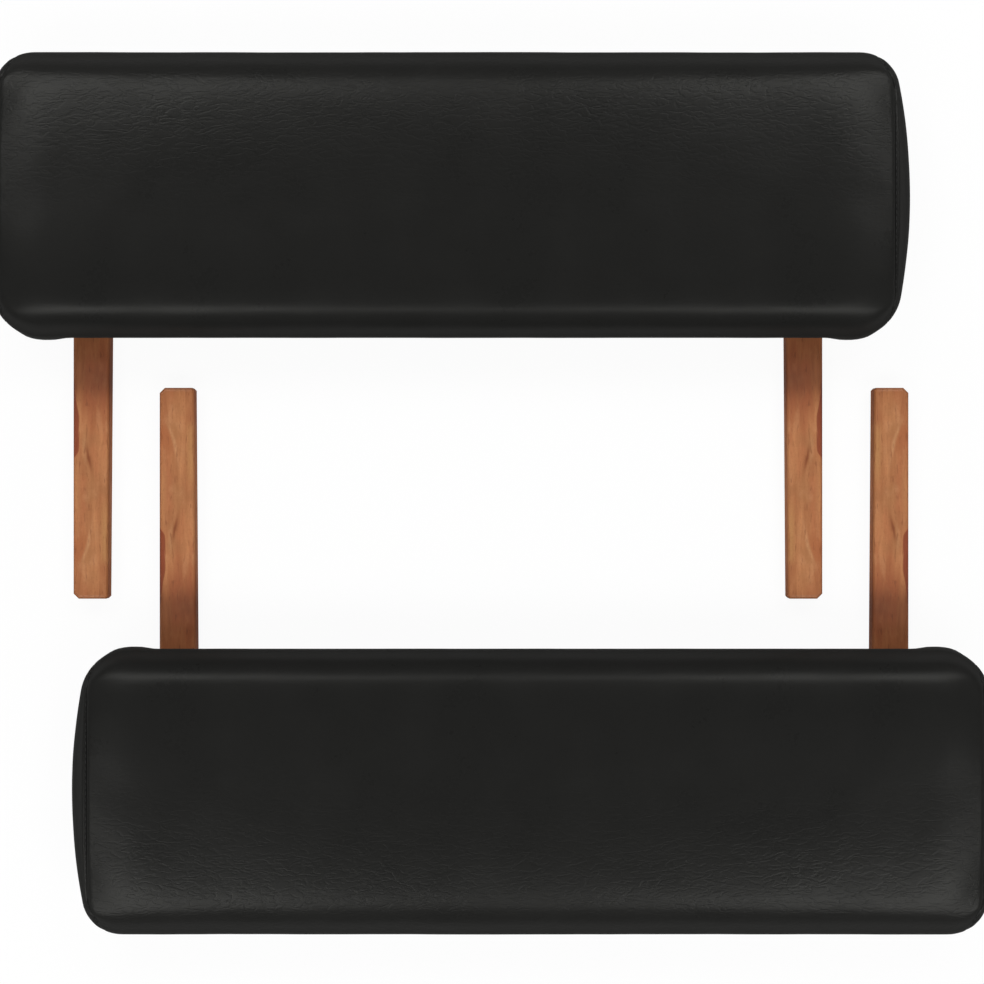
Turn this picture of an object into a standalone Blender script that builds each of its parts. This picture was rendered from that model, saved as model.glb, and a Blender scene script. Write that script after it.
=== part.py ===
"""Pair of plug-in side armrests for a folding massage table.

Each armrest is a padded board on two tapered wooden sticks, which slide into sockets in the
long edge of the table. Sizes are in metres, +Z is up and z = 0 is the surface that the sticks
lie on. The pieces are modelled once, for an armrest that has its middle at x = y = 0 and its
sticks pointing along -Y. They are then placed twice, the second time turned by half a turn.
"""

import math

import bmesh
import bpy
from mathutils import Matrix, Vector

# How the two armrests lie: the middle of the left one, and the right one opposite to it
PAIR_SHIFT_X = -0.0304
PAIR_SHIFT_Y = 0.2065

# The cushion from above
PAD_LENGTH = 0.640
PAD_DEPTH = 0.1975
END_RADIUS = 0.410
OUTER_CORNER_RADIUS = 0.028
INNER_CORNER_RADIUS = 0.034
LEAST_CORNER_RADIUS = 0.002

# The cushion in section, from the board up
BOARD_THICKNESS = 0.009
FOAM_SIDE_HEIGHT = 0.017
SIDE_SWELL = 0.0016
EDGE_REACH = 0.0215
EDGE_RISE = 0.020
CREASE_TURN = math.radians(72)
CROWN_HEIGHT = 0.0065

# The sewn cover and the cloth under the board
COVER_THICKNESS = 0.0012
COVER_HEM = 0.022
SEAM_BEHIND_BOW = 0.005
SEAM_TURN_FROM_SIDE = 0.0255
OUTER_SEAM_TURN = math.radians(24)
INNER_SEAM_TURN = math.radians(10)
LINING_THICKNESS = 0.0008
LINING_INSET = 0.012

# The sticks
STICK_FROM_END = 0.0686
STICK_WIDTH = 0.0258
STICK_TIP_WIDTH = 0.0245
STICK_THICKNESS = 0.018
STICK_REACH = 0.1822
STICK_UNDER_PAD = 0.170
STICK_EDGE_RADIUS = 0.0025
TIP_OUTER_CHAMFER = 0.0036
TIP_INNER_CHAMFER = 0.0016

# The bolts, from the cushion's inner edge, and the tee nuts that they screw into
INNER_BOLT_FROM_EDGE = 0.035
OUTER_BOLT_FROM_EDGE = 0.140
BOLT_DIAMETER = 0.006
BOLT_HEAD_DIAMETER = 0.0105
BOLT_HEAD_HEIGHT = 0.0033
BOLT_SOCKET_WIDTH = 0.004
BOLT_SOCKET_DEPTH = 0.002
BOLT_POINT_LENGTH = 0.0008
BOLT_POINT_BELOW_FOAM = 0.001
HEAD_SINK = 0.0017
COUNTERBORE_CLEARANCE = 0.001
TEE_NUT_FLANGE_DIAMETER = 0.019
TEE_NUT_FLANGE_THICKNESS = 0.0013
TEE_NUT_WALL = 0.0009
TEE_NUT_SHORT_OF_BOARD = 0.001
PRONG_COUNT = 4
PRONG_FROM_RIM = 0.0019
PRONG_WIDTH = 0.0018
PRONG_LENGTH = 0.0055

# The gap left between pieces that touch, also along the seams
FIT = 0.0003

# Facets
CORNER_STEPS = 5
END_STEPS = 6
LONG_SIDE_STEPS = 6
SWELL_STEPS = 2
EDGE_STEPS = 4
EDGE_ROUNDING_STEPS = 3
CROWN_SHARES = (0.72, 0.40, 0.0)
TURNED_SIDES = 16
SHARP_ANGLE = math.radians(35)
MERGE_DISTANCE = 0.000001
CUTTER_MARGIN = 0.02

# Heights of the stack, from the sticks up
LINING_Z = STICK_THICKNESS + FIT
HEM_Z = LINING_Z + LINING_THICKNESS + FIT
BOARD_Z = HEM_Z + COVER_THICKNESS + FIT
BOARD_TOP_Z = BOARD_Z + BOARD_THICKNESS
FOAM_Z = BOARD_TOP_Z + FIT
WIDEST_Z = BOARD_TOP_Z + FOAM_SIDE_HEIGHT
CREASE_Z = WIDEST_Z + EDGE_RISE * math.sin(CREASE_TURN)
CREASE_INSET = EDGE_REACH * (1 - math.cos(CREASE_TURN))
TOP_Z = CREASE_Z + CROWN_HEIGHT
COVER_DEPTH = COVER_THICKNESS + FIT
FOLD_RADIUS = COVER_DEPTH
SPINE_HALF_LENGTH = PAD_LENGTH / 2 - PAD_DEPTH / 2
STICK_X = PAD_LENGTH / 2 - STICK_FROM_END
HEAD_SEAT_Z = HEAD_SINK + BOLT_HEAD_HEIGHT + FIT
BOLT_HOLE_RADIUS = BOLT_DIAMETER / 2 + FIT
TEE_NUT_RADIUS = BOLT_HOLE_RADIUS + TEE_NUT_WALL
TEE_NUT_FLANGE_RADIUS = TEE_NUT_FLANGE_DIAMETER / 2
TEE_NUT_TOP_Z = FOAM_Z + TEE_NUT_FLANGE_THICKNESS
PRONG_CIRCLE_RADIUS = TEE_NUT_FLANGE_RADIUS - PRONG_FROM_RIM
INNER_BOLT_Y = -PAD_DEPTH / 2 + INNER_BOLT_FROM_EDGE
OUTER_BOLT_Y = -PAD_DEPTH / 2 + OUTER_BOLT_FROM_EDGE
STICK_TIP_Y = -PAD_DEPTH / 2 - STICK_REACH
STICK_BACK_Y = -PAD_DEPTH / 2 + STICK_UNDER_PAD


def clear_scene():
    for thing in list(bpy.data.objects):
        bpy.data.objects.remove(thing)


def new_collection(name):
    collection = bpy.data.collections.new(name)
    bpy.context.scene.collection.children.link(collection)
    return collection


def material(name, colour, roughness, metallic=0.0):
    surface = bpy.data.materials.new(name)
    surface.use_nodes = True
    shader = surface.node_tree.nodes["Principled BSDF"]
    shader.inputs["Base Color"].default_value = (*colour, 1.0)
    shader.inputs["Roughness"].default_value = roughness
    shader.inputs["Metallic"].default_value = metallic
    return surface


def mesh_from(form, name):
    bmesh.ops.remove_doubles(form, verts=form.verts, dist=MERGE_DISTANCE)
    bmesh.ops.recalc_face_normals(form, faces=form.faces)
    mesh = bpy.data.meshes.new(name)
    form.to_mesh(mesh)
    form.free()
    return mesh


def baked(name, mesh, *steps):
    """The mesh after its modifiers, each given as a kind and its settings."""
    template = bpy.data.objects.new(name, mesh)
    bpy.context.scene.collection.objects.link(template)
    for kind, settings in steps:
        modifier = template.modifiers.new(kind.title(), kind)
        for setting, value in settings.items():
            setattr(modifier, setting, value)
    graph = bpy.context.evaluated_depsgraph_get()
    result = bpy.data.meshes.new_from_object(template.evaluated_get(graph))
    result.name = name
    result.shade_smooth()
    result.set_sharp_from_angle(angle=SHARP_ANGLE)
    bpy.data.objects.remove(template)
    return result


def boolean(operation, cutter):
    return "BOOLEAN", {"operation": operation, "solver": "EXACT", "object": cutter}


def cutter(name, mesh):
    tool = bpy.data.objects.new(name, mesh)
    tool.hide_render = True
    tool.display_type = "WIRE"
    CUTTERS.objects.link(tool)
    return tool


def loft(name, rings, close_start=False, close_end=False):
    """A skin through rings that have the same number of points, first ring lowest."""
    form = bmesh.new()
    rows = [[form.verts.new(point) for point in ring] for ring in rings]
    for lower, upper in zip(rows, rows[1:]):
        for index in range(len(lower)):
            after = (index + 1) % len(lower)
            form.faces.new((lower[index], lower[after], upper[after], upper[index]))
    if close_start:
        form.faces.new(reversed(rows[0]))
    if close_end:
        form.faces.new(rows[-1])
    return mesh_from(form, name)


def prism(name, outline, bottom, top):
    rings = [[Vector((x, y, z)) for x, y in outline] for z in (bottom, top)]
    return loft(name, rings, close_start=True, close_end=True)


def rounded_prism(name, outline, bottom, top, radius):
    """A prism with rounded edges round its two flat faces."""
    form = bmesh.new()
    form.from_mesh(prism(name, outline, bottom, top))
    level = [edge for edge in form.edges if edge.verts[0].co.z == edge.verts[1].co.z]
    bmesh.ops.bevel(
        form, geom=level, offset=radius, segments=EDGE_ROUNDING_STEPS, profile=0.5,
        affect="EDGES", offset_type="OFFSET", clamp_overlap=False,
    )
    return mesh_from(form, name)


def turn(form, profile, place=(0.0, 0.0), sides=TURNED_SIDES):
    """Turns a profile of (radius, height) points about the upright line at a place."""
    points = [form.verts.new((place[0] + radius, place[1], z)) for radius, z in profile]
    edges = [form.edges.new(pair) for pair in zip(points, points[1:])]
    bmesh.ops.spin(
        form, geom=points + edges, cent=(*place, 0.0), axis=(0.0, 0.0, 1.0),
        angle=math.tau, steps=sides, use_merge=True,
    )


def turned(name, profile, sides=TURNED_SIDES):
    form = bmesh.new()
    turn(form, profile, sides=sides)
    return mesh_from(form, name)


def rod(radius, bottom, top):
    return [(0.0, bottom), (radius, bottom), (radius, top), (0.0, top)]


def corner(radius, inset):
    """Middle, radius and starting angle of a corner that runs on from the bowed end."""
    radius = max(radius - inset, LEAST_CORNER_RADIUS)
    reach = END_RADIUS - inset - radius
    middle_y = PAD_DEPTH / 2 - inset - radius
    start = math.asin(middle_y / reach)
    middle_x = PAD_LENGTH / 2 - END_RADIUS + reach * math.cos(start)
    return middle_x, middle_y, radius, start


def outline(inset):
    """The cushion from above, drawn in by the inset and listed anticlockwise."""
    inner_x, inner_y, inner_radius, inner_start = corner(INNER_CORNER_RADIUS, inset)
    outer_x, outer_y, outer_radius, outer_start = corner(OUTER_CORNER_RADIUS, inset)
    bow_x = PAD_LENGTH / 2 - END_RADIUS
    bow_radius = END_RADIUS - inset
    quarter = math.pi / 2
    half = []
    for step in range(CORNER_STEPS):
        angle = -quarter + (quarter - inner_start) * step / CORNER_STEPS
        half.append((inner_x + inner_radius * math.cos(angle),
                     -inner_y + inner_radius * math.sin(angle)))
    for step in range(END_STEPS):
        angle = -inner_start + (inner_start + outer_start) * step / END_STEPS
        half.append((bow_x + bow_radius * math.cos(angle), bow_radius * math.sin(angle)))
    for step in range(CORNER_STEPS + 1):
        angle = outer_start + (quarter - outer_start) * step / CORNER_STEPS
        half.append((outer_x + outer_radius * math.cos(angle),
                     outer_y + outer_radius * math.sin(angle)))
    side_y = PAD_DEPTH / 2 - inset
    stations = [SPINE_HALF_LENGTH * (1 - 2 * step / LONG_SIDE_STEPS)
                for step in range(LONG_SIDE_STEPS + 1)]
    outer_side = [(x, side_y) for x in stations]
    inner_side = [(-x, -side_y) for x in stations]
    other_half = [(-x, y) for x, y in reversed(half)]
    return half + outer_side + other_half + inner_side


def level_ring(inset, z):
    return [Vector((x, y, z)) for x, y in outline(inset)]


def padded_side(inward):
    """Rings from the board to the crease round the top, drawn in from the outer face."""
    rings = []
    for step in range(SWELL_STEPS):
        share = step / SWELL_STEPS
        inset = SIDE_SWELL * (1 - math.sin(share * math.pi / 2)) + inward
        rings.append(level_ring(inset, BOARD_TOP_Z + FOAM_SIDE_HEIGHT * share))
    for step in range(EDGE_STEPS + 1):
        angle = CREASE_TURN * step / EDGE_STEPS
        inset = EDGE_REACH - (EDGE_REACH - inward) * math.cos(angle)
        rings.append(level_ring(inset, WIDEST_Z + (EDGE_RISE - inward) * math.sin(angle)))
    return rings


def crown_z(x, y):
    """Height of the crowned top over the whole area inside the crease."""
    along = 1 - (x / (PAD_LENGTH / 2 - CREASE_INSET)) ** 4
    across = 1 - (y / (PAD_DEPTH / 2 - CREASE_INSET)) ** 2
    return CREASE_Z + CROWN_HEIGHT * along * across


def crown(crease, inward):
    """Rings from the crease to the spine, on which the last ring closes."""
    rings = []
    for share in CROWN_SHARES:
        ring = []
        for point in crease:
            spine_x = max(-SPINE_HALF_LENGTH, min(SPINE_HALF_LENGTH, point.x))
            x = spine_x + (point.x - spine_x) * share
            y = point.y * share
            ring.append(Vector((x, y, crown_z(x, y) - inward)))
        rings.append(ring)
    return rings


def cover_skin():
    """The outer face of the cover, from its hem under the board to the crown."""
    rings = [level_ring(COVER_HEM, HEM_Z)]
    for degrees in (0, 45, 90):
        angle = math.radians(degrees)
        inset = SIDE_SWELL + FOLD_RADIUS * (1 - math.sin(angle))
        rings.append(level_ring(inset, HEM_Z + FOLD_RADIUS * (1 - math.cos(angle))))
    rings += padded_side(0.0)
    rings += crown(rings[-1], 0.0)
    return loft("cover_skin", rings)


def seam_turn_point(turn_angle, ease):
    """Where the straight seam across the end turns off towards the cushion's corner."""
    middle_x, _, radius, start = corner(OUTER_CORNER_RADIUS, 0.0)
    bow_end_x = middle_x + radius * math.cos(start)
    side_y = PAD_DEPTH / 2 - SEAM_TURN_FROM_SIDE
    return Vector((bow_end_x - SEAM_BEHIND_BOW - ease, side_y - ease * math.tan(turn_angle / 2)))


def seam_on_hem(corner_radius, turn_angle, ease):
    """Where the seam, moved in by the ease, meets the mitre across the hem."""
    heading = Vector((-math.sin(turn_angle), math.cos(turn_angle)))
    middle_x, middle_y, radius, _ = corner(corner_radius, SIDE_SWELL + FOLD_RADIUS)
    offset = seam_turn_point(turn_angle, 0.0) - Vector((middle_x, middle_y))
    along = offset.dot(heading)
    to_edge = math.sqrt(along ** 2 + radius ** 2 - offset.length_squared) - along
    edge = seam_turn_point(turn_angle, 0.0) + heading * to_edge
    start = seam_turn_point(turn_angle, ease)
    mitre = edge.y - edge.x + math.sqrt(2) * ease
    return start + heading * (mitre - start.y + start.x) / (heading.y - heading.x)


def end_block(name, side, ease):
    """What the end panel takes of the cover: all past the seam, and a mitred hem."""
    far_x = PAD_LENGTH / 2 + CUTTER_MARGIN
    hem_depth = COVER_HEM + CUTTER_MARGIN
    past_seam = []
    hem = []
    for across, radius, turn_angle in ((1, OUTER_CORNER_RADIUS, OUTER_SEAM_TURN),
                                       (-1, INNER_CORNER_RADIUS, INNER_SEAM_TURN)):
        turning = seam_turn_point(turn_angle, ease)
        far_y = turning.y + PAD_DEPTH
        far_seam_x = turning.x - PAD_DEPTH * math.tan(turn_angle)
        rim = seam_on_hem(radius, turn_angle, ease)
        slanted = [(far_x, far_y), (far_seam_x, far_y), tuple(turning)]
        mitred = [(far_x, rim.y), tuple(rim), (rim.x - hem_depth, rim.y - hem_depth)]
        past_seam += [(side * x, across * y) for x, y in slanted[::across]]
        hem += [(side * x, across * y) for x, y in mitred[::across]]
    under = cutter(name + "_hem", prism(name + "_hem", hem, 0.0, BOARD_Z - FIT / 2))
    block = prism(name, past_seam, -CUTTER_MARGIN, TOP_Z + CUTTER_MARGIN)
    return cutter(name, baked(name, block, boolean("UNION", under)))


def cover_panels():
    """The cover sewn from a long main panel and two end panels."""
    skin = cover_skin()
    shell = "SOLIDIFY", {"thickness": COVER_THICKNESS, "offset": -1.0, "use_even_offset": True}
    sides = {1: "plus", -1: "minus"}
    main_cuts = [boolean("DIFFERENCE", end_block(f"main_{way}_seam", side, FIT / 2))
                 for side, way in sides.items()]
    panels = {"main": baked("main_cover", skin, shell, *main_cuts)}
    for side, way in sides.items():
        block = end_block(f"end_{way}_seam", side, -FIT / 2)
        panels[side] = baked(f"end_{way}_cover", skin, shell, boolean("INTERSECT", block))
    return panels


def bolt_places():
    """Each bolt's place on an armrest, with the side of its stick."""
    return [(side, row, (side * STICK_X, y))
            for side in (1, -1)
            for row, y in (("inner", INNER_BOLT_Y), ("outer", OUTER_BOLT_Y))]


def drilled(name, mesh, profile, places, *before):
    """A mesh with the same turned hole cut at each place."""
    form = bmesh.new()
    for place in places:
        turn(form, profile, place)
    tool = cutter(name + "_holes", mesh_from(form, name + "_holes"))
    return baked(name, mesh, *before, boolean("DIFFERENCE", tool))


def foam_core():
    sides = padded_side(COVER_DEPTH)
    for point in sides[0]:
        point.z = FOAM_Z
    core = loft("foam_core", sides + crown(sides[-1], COVER_DEPTH), close_start=True)
    pocket = rod(TEE_NUT_FLANGE_RADIUS + FIT, FOAM_Z - FIT, TEE_NUT_TOP_Z + FIT)
    return drilled("foam_core", core, pocket, [place for _, _, place in bolt_places()])


def prongs(form, place, clearance):
    """Spikes pointing down round a tee nut, for the nut itself or for their pockets."""
    root_z = FOAM_Z + TEE_NUT_FLANGE_THICKNESS / 2
    point_z = FOAM_Z - PRONG_LENGTH - clearance
    for index in range(PRONG_COUNT):
        angle = math.tau * (index + 0.5) / PRONG_COUNT
        x = place[0] + PRONG_CIRCLE_RADIUS * math.cos(angle)
        y = place[1] + PRONG_CIRCLE_RADIUS * math.sin(angle)
        stand = Matrix.Translation((x, y, (root_z + point_z) / 2))
        bmesh.ops.create_cone(
            form, cap_ends=True, segments=4, depth=root_z - point_z,
            radius1=PRONG_WIDTH / 8 + clearance, radius2=PRONG_WIDTH / 2 + 2 * clearance,
            matrix=stand @ Matrix.Rotation(angle, 4, "Z"),
        )


def tee_nut():
    low = BOARD_Z + TEE_NUT_SHORT_OF_BOARD
    profile = [
        (BOLT_HOLE_RADIUS, low), (TEE_NUT_RADIUS, low), (TEE_NUT_RADIUS, FOAM_Z),
        (TEE_NUT_FLANGE_RADIUS, FOAM_Z), (TEE_NUT_FLANGE_RADIUS, TEE_NUT_TOP_Z),
        (BOLT_HOLE_RADIUS, TEE_NUT_TOP_Z), (BOLT_HOLE_RADIUS, low),
    ]
    spikes = bmesh.new()
    prongs(spikes, (0.0, 0.0), 0.0)
    spike_tool = cutter("tee_nut_prongs", mesh_from(spikes, "tee_nut_prongs"))
    return baked("tee_nut", turned("tee_nut", profile), boolean("UNION", spike_tool))


def base_board():
    """The plywood board, with a hole for each tee nut and pockets for its prongs."""
    edge = outline(SIDE_SWELL + COVER_DEPTH)
    board = prism("base_board", edge, BOARD_Z, BOARD_TOP_Z)
    places = [place for _, _, place in bolt_places()]
    form = bmesh.new()
    for place in places:
        prongs(form, place, FIT)
    pockets = cutter("prong_pockets", mesh_from(form, "prong_pockets"))
    hole = rod(TEE_NUT_RADIUS + FIT, BOARD_Z - CUTTER_MARGIN, BOARD_TOP_Z + CUTTER_MARGIN)
    return drilled("base_board", board, hole, places, boolean("DIFFERENCE", pockets))


def lining():
    cloth = prism("lining", outline(LINING_INSET), LINING_Z, LINING_Z + LINING_THICKNESS)
    hole = rod(BOLT_HOLE_RADIUS, LINING_Z - FIT, LINING_Z + LINING_THICKNESS + FIT)
    return drilled("lining", cloth, hole, [place for _, _, place in bolt_places()])


def stick(side):
    """A flat stick with a straight outer edge, a tapered inner edge and a clipped tip."""
    outer_x = STICK_X + STICK_WIDTH / 2
    taper = (STICK_WIDTH - STICK_TIP_WIDTH) / STICK_REACH
    back_x = outer_x - STICK_WIDTH - taper * STICK_UNDER_PAD
    tip_x = outer_x - STICK_TIP_WIDTH
    edge = [
        (outer_x, STICK_BACK_Y), (back_x, STICK_BACK_Y),
        (tip_x, STICK_TIP_Y + TIP_INNER_CHAMFER), (tip_x + TIP_INNER_CHAMFER, STICK_TIP_Y),
        (outer_x - TIP_OUTER_CHAMFER, STICK_TIP_Y), (outer_x, STICK_TIP_Y + TIP_OUTER_CHAMFER),
    ]
    if side < 0:
        edge = [(-x, y) for x, y in reversed(edge)]
    bar = rounded_prism("stick", edge, 0.0, STICK_THICKNESS, STICK_EDGE_RADIUS)
    head_room = BOLT_HEAD_DIAMETER / 2 + COUNTERBORE_CLEARANCE
    hole = [
        (0.0, -CUTTER_MARGIN), (head_room, -CUTTER_MARGIN), (head_room, HEAD_SEAT_Z),
        (BOLT_HOLE_RADIUS, HEAD_SEAT_Z), (BOLT_HOLE_RADIUS, STICK_THICKNESS + CUTTER_MARGIN),
        (0.0, STICK_THICKNESS + CUTTER_MARGIN),
    ]
    places = [place for bolt_side, _, place in bolt_places() if bolt_side == side]
    return drilled("stick", bar, hole, places)


def bolt():
    """A button-head bolt standing on its head, with a six-sided socket."""
    head_radius = BOLT_HEAD_DIAMETER / 2
    shank_radius = BOLT_DIAMETER / 2
    seat = HEAD_SINK + BOLT_HEAD_HEIGHT
    tip = FOAM_Z - BOLT_POINT_BELOW_FOAM
    profile = [(0.0, HEAD_SINK)]
    for degrees in (30, 50, 70, 90):
        angle = math.radians(degrees)
        rise = BOLT_HEAD_HEIGHT * (1 - math.cos(angle) / math.cos(math.radians(30)))
        profile.append((head_radius * math.sin(angle), HEAD_SINK + rise))
    profile += [
        (shank_radius, seat), (shank_radius, tip - BOLT_POINT_LENGTH),
        (shank_radius - BOLT_POINT_LENGTH, tip), (0.0, tip),
    ]
    form = bmesh.new()
    socket_radius = BOLT_SOCKET_WIDTH / math.sqrt(3)
    turn(form, rod(socket_radius, 0.0, HEAD_SINK + BOLT_SOCKET_DEPTH), sides=6)
    socket = cutter("bolt_socket", mesh_from(form, "bolt_socket"))
    return baked("bolt", turned("bolt", profile), boolean("DIFFERENCE", socket))


def armrest(name, middle, turn_angle, ends):
    """Places one armrest's pieces under an empty; ends names its +X and -X ends."""
    parent = bpy.data.objects.new(name, None)
    parent.location = middle
    parent.rotation_euler = (0.0, 0.0, turn_angle)
    PARTS.objects.link(parent)
    prefix = name.split("_")[0]

    def place(piece_name, mesh, surface, spot=(0.0, 0.0)):
        piece = bpy.data.objects.new(f"{prefix}_{piece_name}", mesh)
        piece.location = (*spot, 0.0)
        piece.parent = parent
        if not mesh.materials:
            mesh.materials.append(surface)
        PARTS.objects.link(piece)

    place("main_cover", PANELS["main"], LEATHERETTE)
    place("foam_core", FOAM, FOAM_SURFACE)
    place("base_board", BOARD, PLYWOOD)
    place("lining", LINING, LINING_CLOTH)
    for side, end in ends.items():
        place(f"{end}_end_cover", PANELS[side], LEATHERETTE)
        place(f"{end}_stick", STICKS[side], BEECH)
    for side, row, spot in bolt_places():
        place(f"{ends[side]}_{row}_bolt", BOLT, ZINC, spot)
        place(f"{ends[side]}_{row}_tee_nut", TEE_NUT, ZINC, spot)


clear_scene()
PARTS = new_collection("massage_table_side_armrests")
CUTTERS = new_collection("cutters")

LEATHERETTE = material("black_leatherette", (0.018, 0.018, 0.018), 0.42)
FOAM_SURFACE = material("polyurethane_foam", (0.78, 0.72, 0.52), 0.95)
PLYWOOD = material("plywood", (0.62, 0.44, 0.26), 0.7)
LINING_CLOTH = material("black_lining_cloth", (0.02, 0.02, 0.022), 0.9)
BEECH = material("stained_beech", (0.47, 0.17, 0.075), 0.45)
ZINC = material("zinc_plated_steel", (0.62, 0.62, 0.60), 0.35, 1.0)

PANELS = cover_panels()
FOAM = foam_core()
BOARD = base_board()
LINING = lining()
STICKS = {side: stick(side) for side in (1, -1)}
BOLT = bolt()
TEE_NUT = tee_nut()

armrest("left_armrest", (PAIR_SHIFT_X, PAIR_SHIFT_Y, 0.0), 0.0, {-1: "head", 1: "foot"})
armrest("right_armrest", (-PAIR_SHIFT_X, -PAIR_SHIFT_Y, 0.0), math.pi, {1: "head", -1: "foot"})
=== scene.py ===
"""Looks of a pair of plug-in side armrests for a folding massage table.

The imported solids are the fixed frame. The sticks, bolts, tee nuts and boards stay and get their
finishes. The sewn covers, the foam and the lining are built again as soft pieces, with turned seams,
puckers, thread and staples. Sizes are in metres. Each soft piece is shaped about the middle of its
armrest, with the sticks towards -Y, and is then placed on both armrests.
"""
import math

import bmesh
import bpy
import numpy as np
from mathutils import Matrix, Vector, noise
from mathutils.kdtree import KDTree


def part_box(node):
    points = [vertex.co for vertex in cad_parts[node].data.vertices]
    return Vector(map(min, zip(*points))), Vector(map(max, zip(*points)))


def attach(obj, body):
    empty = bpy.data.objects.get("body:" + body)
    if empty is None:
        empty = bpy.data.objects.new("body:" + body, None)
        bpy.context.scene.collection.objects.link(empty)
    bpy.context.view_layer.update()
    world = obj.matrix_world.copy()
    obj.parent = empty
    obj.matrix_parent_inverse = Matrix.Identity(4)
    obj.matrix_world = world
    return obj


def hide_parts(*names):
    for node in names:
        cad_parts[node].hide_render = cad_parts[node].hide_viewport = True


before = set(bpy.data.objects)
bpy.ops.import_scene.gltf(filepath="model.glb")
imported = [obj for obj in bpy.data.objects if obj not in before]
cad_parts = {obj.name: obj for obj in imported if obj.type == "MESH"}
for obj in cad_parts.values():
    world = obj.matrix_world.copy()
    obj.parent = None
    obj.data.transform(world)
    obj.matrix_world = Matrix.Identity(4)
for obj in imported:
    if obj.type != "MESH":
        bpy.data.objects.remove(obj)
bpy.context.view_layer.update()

# Places and heights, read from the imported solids
HEAD_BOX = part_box("left_head_end_cover")
FOOT_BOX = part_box("left_foot_end_cover")
MAIN_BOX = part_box("left_main_cover")
BOARD_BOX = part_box("left_base_board")
LINING_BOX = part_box("left_lining")
STICK_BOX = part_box("left_foot_stick")
BOLT_BOXES = [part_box(f"left_{end}_{row}_bolt") for end in ("head", "foot") for row in ("inner", "outer")]
TEE_NUT_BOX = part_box("left_foot_inner_tee_nut")
LEFT_MIDDLE = Vector(((HEAD_BOX[0].x + FOOT_BOX[1].x) / 2, (MAIN_BOX[0].y + MAIN_BOX[1].y) / 2, 0.0))
RIGHT_MIDDLE = -LEFT_MIDDLE
PAD_LENGTH = FOOT_BOX[1].x - HEAD_BOX[0].x
PAD_DEPTH = MAIN_BOX[1].y - MAIN_BOX[0].y
HALF_LENGTH = PAD_LENGTH / 2
HALF_DEPTH = PAD_DEPTH / 2
HEM_Z = MAIN_BOX[0].z
BOARD_TOP_Z = BOARD_BOX[1].z
LINING_Z = LINING_BOX[0].z
LINING_THICKNESS = LINING_BOX[1].z - LINING_BOX[0].z
STICK_X = abs((STICK_BOX[0].x + STICK_BOX[1].x) / 2 - LEFT_MIDDLE.x)
BOLT_HEAD_RADIUS = (BOLT_BOXES[0][1].x - BOLT_BOXES[0][0].x) / 2
TEE_NUT_FLANGE_RADIUS = (TEE_NUT_BOX[1].x - TEE_NUT_BOX[0].x) / 2

# The cushion's outline from above
BOW_RADIUS = 0.410
OUTER_CORNER_RADIUS = 0.028
INNER_CORNER_RADIUS = 0.034

# The cushion in section
SIDE_SWELL = 0.0016
WIDEST_Z = BOARD_TOP_Z + 0.017
EDGE_REACH = 0.0231
INNER_EDGE_REACH = 0.0209
EDGE_REACH_NEAR_ENDS = 0.0200
END_TURN_BEHIND_SEAM = 0.0045
LEAST_END_REACH = 0.0090
EDGE_RISE = 0.0172
CROWN_HEIGHT = 0.0080
OUTER_CROWN_POWER = 3.0
INNER_CROWN_POWER = 5.0
END_CROWN_POWER = 4.0
END_EASE = 0.070
CORNER_EASE = 0.110

# Directions out of the cushion, and how they turn from its side to its top
NORMAL_STEP = 0.0003
RIM_PULL = 0.0009
RIM_BLEND = 0.003

# The sewn cover
COVER_THICKNESS = 0.0012
COVER_HEM = 0.022
FOLD_RADIUS = 0.0015
FOLD_INSET = SIDE_SWELL + FOLD_RADIUS
SEAM_X = 0.3079
SEAM_TURN_Y = 0.07325
OUTER_SEAM_TURN = math.radians(24)
INNER_SEAM_TURN = math.radians(10)
SEAM_GAP = 0.00004
SEAM_STEP = 0.0001
SEAM_REACH = 0.040
SEAM_DEPTH = 0.0019
SEAM_BOTTOM = 0.0002
SEAM_HALF_WIDTH = 0.00060
SEAM_ROUNDING = 1.25
SEAM_LIP = 0.00022
SEAM_LIP_FROM = 0.0032
SEAM_LIP_SPREAD = 0.0017
LIP_WAVES = (0.031, 0.0123)
LIP_START = 1.3
SIDE_SEAM_SHARE = 0.25
SEAM_DEEPENS = (WIDEST_Z + 0.002, WIDEST_Z + 0.012)
HEM_SETTLES = (HEM_Z + 0.001, HEM_Z + 0.006)
HEM_SEAM_SHARE = 0.08
PUCKER_HEIGHT = 0.00034
PUCKER_REACH = 0.0062
PUCKER_PITCHES = (0.0072, 0.0103, 0.0151, 0.0230)
STRAIGHT_PUCKERS = 0.35
SEAM_TURN_ALONG = 0.080
SEAM_TURN_SPREAD = 0.020

# Stitches: places along one as shares of its length, with the thread's share of its thickness there
STITCH_PITCH = 0.0043
STITCH_LENGTH = 0.0031
STITCH_RIPPLE = 0.18
STITCH_RIPPLE_REACH = 0.0018
STITCH_SECTIONS = ((-0.5, 0.35), (-0.36, 0.85), (0.0, 1.0), (0.36, 0.85), (0.5, 0.35))
THREAD_RADIUS = 0.00027
THREAD_SIDES = 6
THREAD_SINK = 0.00115
THREAD_BEND = 0.0004
THREAD_TILT = 0.10
THREAD_FROM_HEM = 0.030
THREAD_INSIDE = np.array((0.25, 0.0, 0.030))

# Swelling of the cover over the foam
SWELL_FRAMES = 20
SWELL_CAP = 0.0016
SWELL_CELL = 0.007
SWELL_NEIGHBOURS = 24
SWELL_BLEND = 0.012
LEATHER_CLOTH = {
    "quality": 6, "mass": 0.35, "tension_stiffness": 40, "compression_stiffness": 40,
    "shear_stiffness": 20, "bending_stiffness": 8, "use_pressure": True, "uniform_pressure_force": 4.0,
}

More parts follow.
